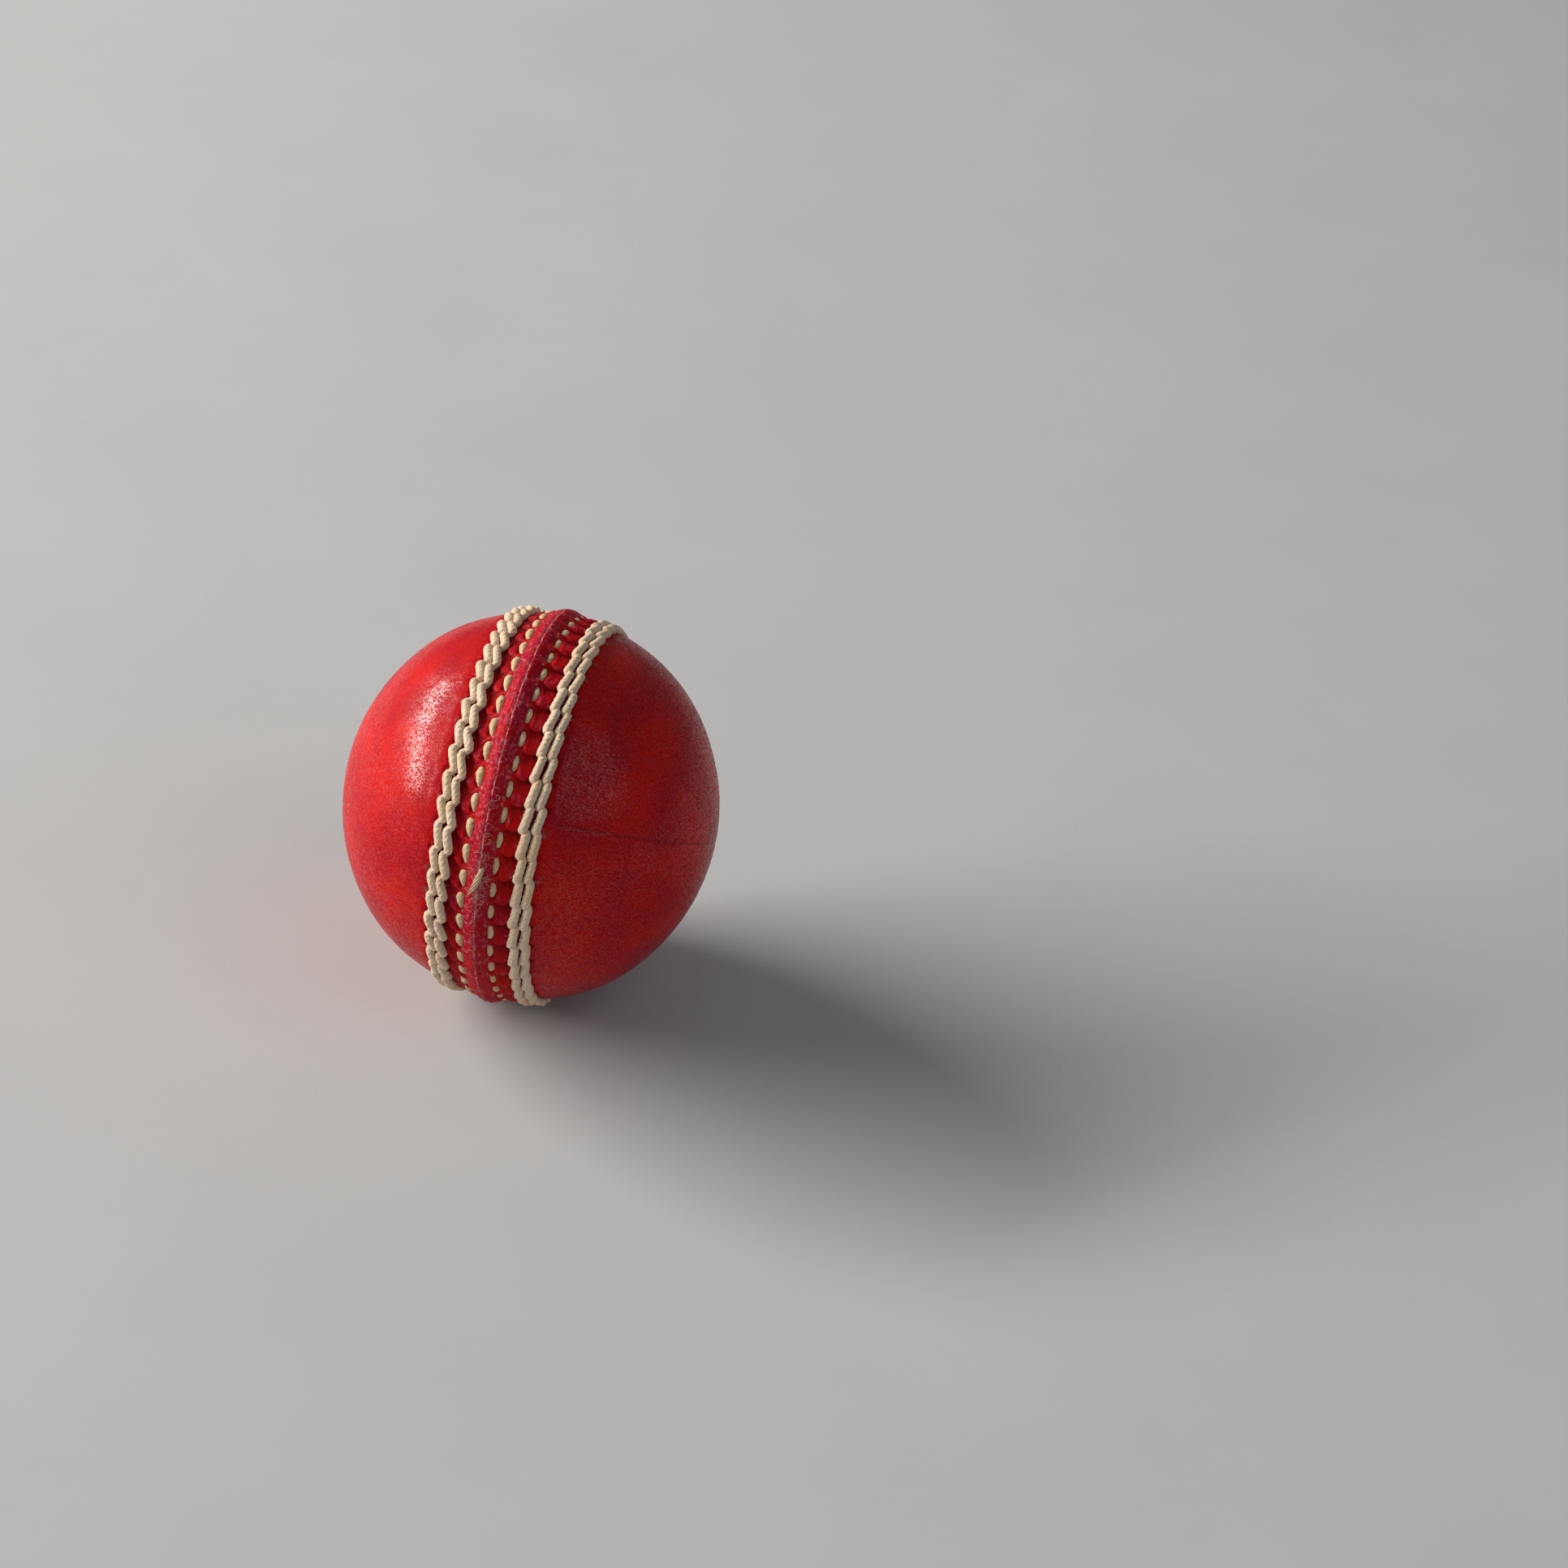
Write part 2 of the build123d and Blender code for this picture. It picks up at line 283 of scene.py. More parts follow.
def leather_surface(across, angle, side_name):
    """The outer surface of one cup: its points, the shade painted into its creases, and how cut, rubbed and
    sewn it is at each.
    """
    side = SIDES[side_name]
    primary = stitch_number(angle - PRIMARY_SKEW[side_name], PRIMARY_HOLES)
    near = stitch_number(angle, OUTER_HOLES["inner", side_name])
    far = stitch_number(angle, OUTER_HOLES["outer", side_name])
    near_row, far_row = OUTER_ROWS["inner", side_name], OUTER_ROWS["outer", side_name]
    smooth = from_polar(SEAM_RADIUS, across, angle, side)
    radius = smooth_curve(across, PROFILE)

    # Beds for the inner stitches, closed by a ragged lobe of leather at each hole
    from_hole = np.abs(primary - np.round(primary))
    bead_row, bead_width, bead_end = BEADS[side_name]
    ragged = ripple(smooth, 0.9, 36)
    closing = from_hole + 0.02 * ragged - 0.05 * (across - bead_row)
    window = smoothstep(bead_end * 0.7, bead_end * 2.4, closing)
    bed = window * bell(across - bead_row, bead_width * 0.8)
    lobe = (1 - smoothstep(bead_end * 0.4, bead_end * 2.6, closing)) * bell(across - bead_row, 0.85)
    radius = radius - BED_DEPTH * bed + LOBE_HEIGHT * lobe
    radius = radius - 0.05 * np.cos(2 * math.pi * primary) * bell(across, 1.2)

    # One pillow to a stitch between the inner and the outer stitches, steep on one side
    lean = smoothstep(3.0, 6.3, across)
    fold = primary + (near - primary) * lean + 0.1 * np.sin(math.pi * lean)
    part = fold - np.floor(fold)
    swell = np.sin(math.pi * part**0.5)
    height = PILLOW_HEIGHTS[side_name] * (1 + 0.2 * np.sin(np.floor(fold) * 2.4))
    span = smoothstep(2.95, 4.0, across) * (1 - smoothstep(5.5, 6.8, across))
    radius = radius + height * swell * span
    lap = math.degrees(0.3 * PILLOW_HEIGHTS[side_name] / SEAM_RADIUS) * swell * span

    # Leather squeezed up between the outer rows, and pits and puckers beside them
    near_hole = bell((near - np.round(near)) * STITCH_LENGTH, 0.8)
    wedge = bell(across - near_row + 1.2, 0.45) * near_hole
    radius = radius - WEDGE_DEPTH * wedge
    far_part = (far - np.round(far)) * STITCH_LENGTH
    between = (near_row + far_row) / 2
    radius = radius + SQUEEZED_HEIGHT * bell(across - between, 0.35) * near_hole
    edge = far_row + 1.3
    pit = bell(across - edge, 0.35) * bell(far_part, 0.5) * (0.7 + 0.5 * ragged)
    radius = radius - PIT_DEPTH * pit
    radius = radius + 0.025 * np.cos(2 * math.pi * far) * bell(across - edge - 0.8, 0.9)

    # Unevenness of the leather itself
    seam_zone = 1 - smoothstep(9.5, 13, across)
    ridge_zone = 1 - smoothstep(2.6, 3.4, across)
    radius = radius + 0.03 * ripple(smooth, 1.3, 31) * seam_zone
    radius = radius + (0.02 * ripple(smooth, 0.6, 32) + 0.03 * ragged) * ridge_zone
    radius = radius + 0.01 * ripple(smooth, 2.5, 33) + 0.03 * ripple(smooth, 14, 34)

    # The two quarters of a cup meet in a line that is pressed almost flat
    from_plane = np.abs((angle - QUARTER_PLANES[side_name] + 90) % 180 - 90)
    along_join = np.radians(from_plane) * SEAM_RADIUS * np.cos(across / SEAM_RADIUS)
    pressed = smoothstep(10.5, 12, across)
    radius = radius - QUARTER_JOIN_DEPTH * bell(along_join, 0.22) * pressed

    points = from_polar(radius, across, angle + lap, side)
    points[..., 0] += side * CUP_GAP
    # Painted shade: the colour goes toward near black in the pillows' valleys, the stitch beds, the pits and
    # wedges and between the outer rows; along the quarter join it is a dark line
    crease_shade = 0.45 * bell(along_join, 0.14) * pressed
    crease_shade = crease_shade + 0.8 * (1 - swell) * span + 0.6 * bed + pit
    crease_shade = crease_shade + 0.6 * wedge + 0.7 * bell(across - between, 1.6)
    torn = bell(across - bead_row + 0.6, 0.3) * bell(from_hole - 0.12, 0.06) * smoothstep(-0.2, 0.6, ragged)
    patchy = smoothstep(0.1, 0.7, ripple(smooth, 5, 37))
    burst = bell(across - edge - 0.2, 0.45) * bell(far_part, 0.6) * patchy
    cut = bell(across, 0.13) + 0.8 * torn + 0.5 * burst
    frayed = bell(np.mod(angle, 360) - FRAYED, 13) * (1 - smoothstep(0.8, 2.0, across))
    rubbed = (1 - smoothstep(1.6, 3.2, across)) * (0.65 + 0.35 * ripple(smooth, 3.5, 35)) + 0.5 * frayed
    rubbed = rubbed + 0.7 * swell**2 * span * smoothstep(-0.4, 0.9, ripple(smooth, 2.4, 38))
    sewn = 1 - smoothstep(9.5, 12, across)
    return points, np.clip(crease_shade, 0, 1), np.clip(cut, 0, 1), np.clip(rubbed, 0, 1), sewn


def leather_quarter(side_name, turn):
    """Half of a cup as a closed mesh: outer surface, lining surface and the cut faces between them."""
    grid = [(u, columns) for low, high, step, columns in LEATHER_GRID for u in np.arange(low, high, step)]
    start = QUARTER_PLANES[side_name] + turn + QUARTER_GAP
    sweep = 180 - 2 * QUARTER_GAP
    points, rows, places = [], [], []
    masks = {"crease_shade": [], "cut": [], "rubbed": [], "sewn": []}
    count = 0

    def add(new, *values):
        nonlocal count
        points.append(new)
        for store, value in zip(masks.values(), values):
            store.append(np.broadcast_to(value, len(new)))
        count += len(new)
        return np.arange(count - len(new), count)

    for across, columns in grid:
        at = np.linspace(0, 1, columns + 1)
        rows.append(add(*leather_surface(np.full(columns + 1, across), start + sweep * at, side_name)))
        places.append(at)
    pole = add(np.array([[SIDES[side_name] * POLE, 0, 0]]), 0, 0, 0, 0)
    inner_rows = []
    inner_at = np.linspace(0, 1, LINING_COLUMNS + 1)
    inner_across = np.linspace(0, TO_POLE * 0.97, LINING_ROWS)
    for across in inner_across:
        lining = from_polar(LEATHER_INSIDE, across, start + sweep * inner_at, SIDES[side_name])
        lining[:, 0] += SIDES[side_name] * CUP_GAP
        inner_rows.append(add(lining, 0, 1, 0, 1))
    inner_pole = add(np.array([[SIDES[side_name] * LEATHER_INSIDE, 0, 0]]), 0, 1, 0, 1)

    quads, triangles = [], []
    for a, b, at_a, at_b in zip(rows, rows[1:], places, places[1:]):
        if len(a) == len(b):
            quads.append(strip(a, b))
        else:
            triangles += zip_strip(a, at_a, b, at_b)
    triangles += zip_strip(rows[-1], places[-1], pole, [1])
    for a, b in zip(inner_rows, inner_rows[1:]):
        quads.append(strip(b, a))
    triangles += [t[::-1] for t in zip_strip(inner_rows[-1], inner_at, inner_pole, [1])]
    triangles += zip_strip(inner_rows[0], inner_at, rows[0], places[0])
    outer_at = np.array([u for u, _ in grid] + [TO_POLE])
    lining_at = np.append(inner_across, TO_POLE)
    for end, turned in ((0, 1), (-1, -1)):
        outer_edge = np.append([r[end] for r in rows], pole)
        inner_edge = np.append([r[end] for r in inner_rows], inner_pole)
        triangles += [t[::turned] for t in zip_strip(outer_edge, outer_at, inner_edge, lining_at)]
    points = np.concatenate(points)
    quads, triangles = outward(points, np.concatenate(quads), np.array(triangles))
    return points, quads, triangles, {key: np.concatenate(values) for key, values in masks.items()}


# ---------------------------------------------------------------- thread


def rope(centres, radii, ups, sides, plies, lay, closed=True, frayed=0):
    """A twisted thread along a line of centres, with a furrow between each two plies.

    sides is the number of points round the thread, and lay the length of one full twist.
    """
    ahead = np.roll(centres, -1, axis=0) - np.roll(centres, 1, axis=0)
    if not closed:
        ahead[0], ahead[-1] = centres[1] - centres[0], centres[-1] - centres[-2]
    ahead /= np.linalg.norm(ahead, axis=1)[:, None]
    right = np.cross(ahead, ups)
    right /= np.linalg.norm(right, axis=1)[:, None]
    up = np.cross(right, ahead)
    along = np.concatenate([[0], np.cumsum(np.linalg.norm(np.diff(centres, axis=0), axis=1))])
    turns = along / lay
    if closed:
        turns *= round(turns[-1]) / turns[-1]
    around = np.linspace(0, 2 * math.pi, sides, endpoint=False)
    twist = around[None, :] + 2 * math.pi * turns[:, None]
    ply = np.abs(np.sin(plies / 2 * twist))
    lumps = ripple(centres, 1.1, 81)[:, None] + ripple(centres, 5, 82)[:, None]
    reach = radii[:, None] * (0.88 + 0.13 * np.sqrt(ply) + 0.03 * lumps)
    offset = np.cos(around)[None, :, None] * right[:, None] + np.sin(around)[None, :, None] * up[:, None]
    rough = 1 + 0.035 * ripple(centres[:, None] + reach[..., None] * offset, 0.7, 83)
    points = centres[:, None] + (rough * reach)[..., None] * offset
    fibre = np.stack([np.cos(twist), np.sin(twist), along[:, None] + 0 * twist], axis=-1)
    rings = np.arange(points.shape[0] * sides).reshape(-1, sides)
    following = np.roll(rings, -1, axis=0) if closed else rings[1:]
    current = rings if closed else rings[:-1]
    beside, beside_next = np.roll(current, -1, axis=1), np.roll(following, -1, axis=1)
    quads = np.stack([current, following, beside_next, beside], axis=-1).reshape(-1, 4)
    points, fibre, ply = points.reshape(-1, 3), fibre.reshape(-1, 3), ply.ravel()
    triangles = np.zeros((0, 3), int)
    if not closed:
        ends = np.array([centres[0], centres[-1]])
        first, last = len(points), len(points) + 1
        points = np.concatenate([points, ends])
        fibre = np.concatenate([fibre, fibre[[0, -1]]])
        ply = np.append(ply, [1, 1])
        low = np.stack([np.full(sides, first), rings[0], np.roll(rings[0], -1)], axis=1)
        high = np.stack([np.full(sides, last), np.roll(rings[-1], -1), rings[-1]], axis=1)
        triangles = np.concatenate([low, high])
    return points, quads, triangles, {"fibre": fibre, "ply": ply, "fray": np.full(len(points), frayed)}


def join(parts):
    """Several meshes' arrays as one."""
    offsets = np.cumsum([0] + [len(p[0]) for p in parts])
    points = np.concatenate([p[0] for p in parts])
    quads = np.concatenate([p[1] + o for p, o in zip(parts, offsets)])
    triangles = np.concatenate([p[2] + o for p, o in zip(parts, offsets)])
    masks = {key: np.concatenate([p[3][key] for p in parts]) for key in parts[0][3]}
    return points, quads, triangles, masks


# One outer stitch of each side: part of the way to the next hole, slant (-1 near the join), height
# over the crest, thickness
OUTER_STITCHES = {
    "left": [
        (0.0, 0.0, -0.36, 0.68),
        (0.12, -0.9, -0.12, 0.77),
        (0.285, -0.68, 0.03, 0.82),
        (0.50, 0.0, 0.06, 0.84),
        (0.715, 0.68, 0.03, 0.82),
        (0.88, 0.9, -0.12, 0.77),
    ],
    "right": [
        (0.0, -0.2, -0.8, 0.62),
        (0.05, -1.1, -0.2, 0.83),
        (0.16, -0.9, 0.0, 0.87),
        (0.4, -0.2, 0.05, 0.83),
        (0.7, 0.5, 0.05, 0.81),
        (0.9, 0.9, -0.06, 0.79),
        (0.965, 0.8, -0.35, 0.7),
    ],
}
OUTER_CREST = 36.0
SLANT = {"left": 0.49, "right": 0.27}


def round_the_seam(controls, side, steps):
    """Centres, thicknesses and outward directions along a closed line round the seam.

    Each control is an angle, a distance from the join, a radius and a thickness.
    """
    turn = np.radians(controls[:, 0])
    flat = np.column_stack([np.cos(turn), np.sin(turn), controls[:, 1:]])
    fine = closed_curve(flat, steps)
    angle = np.degrees(np.arctan2(fine[:, 1], fine[:, 0]))
    centres = from_polar(fine[:, 3], fine[:, 2], angle, side)
    ups = from_polar(1, fine[:, 2], angle, side)
    return centres, fine[:, 4], ups


def outer_row(row, side_name, seed):
    """One outer row: a thread that shows as a slanted stitch, then dips into the next hole."""
    rng = np.random.default_rng(seed)
    holes = OUTER_HOLES[row, side_name]
    shape = np.array(OUTER_STITCHES[side_name])[::-1]
    controls = []
    for end, following in zip(holes, np.roll(holes, -1)):
        length = (following - end) % 360
        slant = SLANT[side_name] * rng.uniform(0.75, 1.25)
        fat = rng.uniform(0.93, 1.05)
        stitch = np.empty((len(shape), 4))
        stitch[:, 0] = end + length * (1 - shape[:, 0])
        stitch[:, 1] = OUTER_ROWS[row, side_name] + slant * shape[:, 1] + rng.normal(0, 0.06)
        stitch[:, 2] = OUTER_CREST + shape[:, 2] + rng.normal(0, 0.03)
        stitch[:, 3] = shape[:, 3] * fat
        controls.append(stitch)
    line = round_the_seam(np.concatenate(controls), SIDES[side_name], 8)
    return join([rope(*line, 30, 5, 4.8)] + row_fuzz(row, side_name, ROW_FIBRES, seed + 100))


# One inner stitch of each side: part of its visible length, distance from its row (minus is towards
# the join), radius, share of the thickness
INNER_STITCHES = {
    "left": [
        (0.0, -0.4, 34.9, 0.6),
        (0.14, -0.02, 35.42, 0.94),
        (0.42, 0.07, 35.54, 1.04),
        (0.84, -0.16, 35.38, 0.56),
        (1.0, -0.45, 34.9, 0.42),
    ],
    "right": [
        (0.0, -0.4, 34.9, 0.5),
        (0.16, -0.08, 35.4, 0.72),
        (0.5, 0.05, 35.52, 1.0),
        (0.84, -0.12, 35.4, 0.72),
        (1.0, -0.45, 34.9, 0.5),
    ],
}


def primary_strand(which, seed):
    """One strand of the saddle stitch, which lies on the two flanks of the ridge by turns."""
    rng = np.random.default_rng(seed)
    flank = which
    controls = []
    for start, following in zip(PRIMARY_HOLES, np.roll(PRIMARY_HOLES, -1)):
        length = (following - start) % 360
        shift = rng.normal(0, 0.05)
        fat = rng.uniform(0.93, 1.07)
        side_name = "right" if flank > 0 else "left"
        bead_row, bead_width, bead_end = BEADS[side_name]
        for part, inset, radius, thickness in INNER_STITCHES[side_name]:
            angle = start + PRIMARY_SKEW[side_name] + length * (bead_end + part * (1 - 2 * bead_end))
            thread_radius = thickness * bead_width * fat
            controls.append((angle, flank * (bead_row + inset + shift), radius, thread_radius))
        flank = -flank
        middle_skew = sum(PRIMARY_SKEW.values()) / 2
        controls.append((start + length + middle_skew, 0, 35.1 + which * 0.6, 0.4))
    return rope(*round_the_seam(np.array(controls), 1, 7), 24, 4, 4.8)


def fibre_at(rng, angle, across, base, length, heading, curl, thick, lift, steps=10):
    """One curled fibre that starts at a place on the seam and rises off it."""
    t = np.linspace(0, 1, steps)
    way = heading + curl * t + 0.5 * np.sin(rng.uniform(5, 9) * t)
    path = np.cumsum(np.stack([np.cos(way), np.sin(way)], axis=1), axis=0) * length / steps
    angles = angle + np.degrees(path[:, 0] / SEAM_RADIUS)
    lateral = across + path[:, 1]
    if base is None:
        base = smooth_curve(np.abs(lateral), PROFILE) - 0.03
    pressed = 1 - bell(np.mod(angle, 360) - 270, 20)  # flat where the ball stands on the floor
    height = base + lift * pressed * np.sin(math.pi * t * rng.uniform(0.6, 1))
    ups = from_polar(1, lateral, angles)
    centres = from_polar(height, lateral, angles)
    return rope(centres, thick * (1 - 0.5 * t), ups, 6, 2, 1.5, closed=False, frayed=1)


def fuzz(count, seed):
    """Fine curled fibres that stand off the raw edges along the join."""
    rng = np.random.default_rng(seed)
    fibres = []
    for i in range(count):
        angle = rng.normal(FRAYED, 9) if i % 2 else rng.uniform(0, 360)
        thick, length = rng.uniform(0.014, 0.03), rng.uniform(0.8, 3.2)
        across, heading = rng.normal(0, 0.6), rng.uniform(0, 2 * math.pi)
        fibres.append(fibre_at(rng, angle, across, None, length, heading, rng.normal(0, 1.6), thick, 0.4))
    return fibres


def row_fuzz(row, side_name, count, seed):
    """Short fibres that stand off the edges of one outer row."""
    rng = np.random.default_rng(seed)
    fibres = []
    for _ in range(count):
        away = rng.choice([-1, 1])
        across = SIDES[side_name] * (OUTER_ROWS[row, side_name] + away * rng.uniform(0.5, 0.8))
        heading = rng.normal(math.pi / 2, 0.9) * away * SIDES[side_name]
        length, thick = rng.uniform(0.4, 1.1), rng.uniform(0.015, 0.025)
        base = OUTER_CREST + rng.uniform(0.1, 0.5)
        angle, curl = rng.uniform(0, 360), rng.normal(0, 1.5)
        fibres.append(fibre_at(rng, angle, across, base, length, heading, curl, thick, 0.12))
    return fibres


def loose_end():
    """A frayed end of seam thread that lies along the ridge, its plies opening towards the tip."""
    rng = np.random.default_rng(64)
    t = np.linspace(0, 1, 40)
    plies = []
    for i in range(LOOSE_PLIES):
        opening = smoothstep(rng.uniform(0.2, 0.5), 1, t)
        turn = 2 * math.pi * (i / LOOSE_PLIES + 0.9 * t)
        spread = 0.26 + rng.uniform(0.1, 0.5) * opening
        across = 0.7 - 1.9 * t + 0.3 * np.sin(3 * t) + spread * np.cos(turn)
        angle = FRAYED - 3 + np.degrees(rng.uniform(4.6, 6.4) * t / SEAM_RADIUS)
        rise = 0.16 - 0.7 * (1 - smoothstep(0, 0.3, t))
        height = RIDGE + rise - 0.15 * across**2 + 0.8 * spread * np.sin(turn)
        thick = 0.2 * (1 - 0.75 * opening)
        centres, ups = from_polar(height, across, angle), from_polar(1, across, angle)
        plies.append(rope(centres, thick, ups, 10, 2, 1.6, closed=False, frayed=0.35))
    for _ in range(LOOSE_END_FIBRES):
        angle, across = rng.normal(FRAYED + 2, 2.8), rng.normal(0.1, 0.45)
        base = RIDGE + rng.uniform(-0.05, 0.25)
        length, heading = rng.uniform(1, 2.8), rng.normal(0.5, 1.0)
        plies.append(fibre_at(rng, angle, across, base, length, heading, rng.normal(0, 2.4), 0.022, 0.3, 14))
    return plies


def yarn_bed(inner, outer):
    """The pressed lower turns of a winding, as a closed shell."""
    around = np.linspace(0, 2 * math.pi, 96, endpoint=False)
    down = np.linspace(0, math.pi, 50)[1:-1]
    spin, tilt = np.meshgrid(around, down)
    ways = np.stack([np.sin(tilt) * np.cos(spin), np.sin(tilt) * np.sin(spin), np.cos(tilt)], axis=-1)
    ways = np.concatenate([ways.reshape(-1, 3), [[0, 0, 1], [0, 0, -1]]])
    ring = np.arange(len(around))
    beside = np.roll(ring, -1)
    rows = np.arange(len(down) - 1)[:, None] * len(ring)
    below = rows + len(ring)
    quads = np.stack([rows + ring, below + ring, below + beside, rows + beside], axis=-1)
    quads = quads.reshape(-1, 4)
    top, bottom, last = len(ways) - 2, len(ways) - 1, (len(down) - 1) * len(ring)
    upper = np.stack([ring, beside, np.full(len(ring), top)], axis=1)
    lower = np.stack([last + beside, last + ring, np.full(len(ring), bottom)], axis=1)
    triangles = np.concatenate([upper, lower])
    uneven = 0.06 * (outer - inner) * ripple(ways * outer, 3, 91)[:, None]
    points = np.concatenate([ways * (outer + uneven), ways * inner])
    quads = np.concatenate([quads, quads[:, ::-1] + len(ways)])
    triangles = np.concatenate([triangles, triangles[:, ::-1] + len(ways)])
    across = np.einsum("ij,ij->i", points, ripple_axes(points))
    fibre = np.column_stack([np.cos(across * 3), np.sin(across * 3), points.sum(axis=1)])
    masks = {"fibre": fibre, "ply": np.abs(np.sin(across * 2)), "fray": np.zeros(len(points))}
    return points, quads, triangles, masks


def ripple_axes(points):
    """Slowly turning directions, so that the pressed turns run many ways."""
    return np.stack([ripple(points, 20, 92), ripple(points, 20, 93), ripple(points, 20, 94)], axis=-1)


def yarn_winding(inner, outer, turns, seed):
    """Worsted yarn wound round and round the ball in great circles that keep turning."""
    rng = np.random.default_rng(seed)
    yarn_radius = (outer - inner) * 0.27
    t = np.linspace(0, 1, turns * 56, endpoint=False)
    wind = 2 * math.pi * turns * t
    sweeps = 3
    tilt = np.arccos(np.abs((2 * sweeps * t) % 2 - 1) * 0.98)
    spin = 2 * math.pi * rng.integers(11, 17) * t
    flat = np.stack([np.cos(wind), np.sin(wind) * np.cos(tilt), np.sin(wind) * np.sin(tilt)], axis=1)
    x = flat[:, 0] * np.cos(spin) - flat[:, 1] * np.sin(spin)
    y = flat[:, 0] * np.sin(spin) + flat[:, 1] * np.cos(spin)
    ups = np.stack([x, y, flat[:, 2]], axis=1)
    middle = (inner + outer) / 2
    swing = (outer - inner) / 2 - yarn_radius
    radius = middle + swing * np.sin(math.pi * turns * t + ripple(ups * 10, 4, seed))
    turns_mesh = rope(ups * radius[:, None], np.full(len(t), yarn_radius), ups, 6, 2, 5.0)
    return join([turns_mesh, yarn_bed(inner + 0.02, middle)])


# The hidden thread inside each cup's own join, as in the CAD model
QUARTER_THREAD = {"radius": 0.4, "centre": 32.1, "step": 5.0, "half_width": 1.5, "end": 22.0}


def quarter_thread(side_name):
    """The thread that whips a cup's two quarters together from the inside, over the pole."""
    q = QUARTER_THREAD
    crossings = round((180 - 2 * q["end"]) / q["step"])
    steps = 8
    t = np.linspace(0, crossings, crossings * steps + 1)
    swing = -np.cos(math.pi * t)
    swing = np.sign(swing) * np.abs(swing) ** 0.8
    along = np.radians(q["end"] + q["step"] * t)
    offset = swing * q["half_width"] / q["centre"]
    side = SIDES[side_name]
    line = [side * np.sin(along) * np.cos(offset), np.cos(along) * np.cos(offset), np.sin(offset)]
    turn = Matrix.Rotation(math.radians(QUARTER_PLANES[side_name]), 3, "X")
    ways = np.stack(line, axis=1) @ np.array(turn).T
    return rope(ways * q["centre"], np.full(len(t), q["radius"]), ways, 14, 3, 3.0, closed=False)


# ---------------------------------------------------------------- materials


class Shader:
    """A procedural material, built one node at a time."""

    def __init__(self, name, **settings):
        self.material = bpy.data.materials.new(name)
        self.material.use_nodes = True
        self.tree = self.material.node_tree
        self.surface = self.tree.nodes["Principled BSDF"]
        for key, value in settings.items():
            self.surface.inputs[key.replace("_", " ")].default_value = value

    def node(self, kind, output=0, setup=None, **inputs):
        made = self.tree.nodes.new("ShaderNode" + kind)
        for key, value in (setup or {}).items():
            setattr(made, key, value)
        for key, value in inputs.items():
            socket = made.inputs[int(key[1:])] if key[0] == "_" else made.inputs[key.replace("_", " ")]
            if isinstance(value, bpy.types.NodeSocket):
                self.tree.links.new(value, socket)
            else:
                socket.default_value = value
        return made.outputs[output]

    def math(self, operation, a, b=0.0, clamp=False):
        return self.node("Math", setup={"operation": operation, "use_clamp": clamp}, _0=a, _1=b)

    def noise(self, vector, scale, detail=3.0, roughness=0.55):
        return self.node("TexNoise", Vector=vector, Scale=scale, Detail=detail, Roughness=roughness)

    def band(self, value, low, high, to_low=0.0, to_high=1.0):
        inputs = {"_0": value, "_1": low, "_2": high, "_3": to_low, "_4": to_high}
        return self.node("MapRange", setup={"clamp": True}, **inputs)

    def mix(self, factor, a, b):
        made = self.tree.nodes.new("ShaderNodeMix")
        made.data_type = "RGBA"
        for socket, value in ((made.inputs[0], factor), (made.inputs[6], a), (made.inputs[7], b)):
            if isinstance(value, bpy.types.NodeSocket):
                self.tree.links.new(value, socket)
            else:
                socket.default_value = value
        return made.outputs[2]

    def attribute(self, name, output=2):
        return self.node("Attribute", output, {"attribute_name": name})

    def place(self, stretch=(1, 1, 1)):
        """The place on the ball in millimetres, stretched."""
        where = self.node("TexCoord", 3)
        scale = tuple(s / MM for s in stretch)
        return self.node("Mapping", Vector=where, Scale=scale)

    def bump(self, height, distance, strength, normal=None):
        inputs = {"Height": height, "Distance": distance * MM, "Strength": strength}
        if normal is not None:
            inputs["Normal"] = normal
        return self.node("Bump", **inputs)

    def finish(self, **links):
        for key, value in links.items():
            self.tree.links.new(value, self.surface.inputs[key.replace("_", " ")])
        return self.material


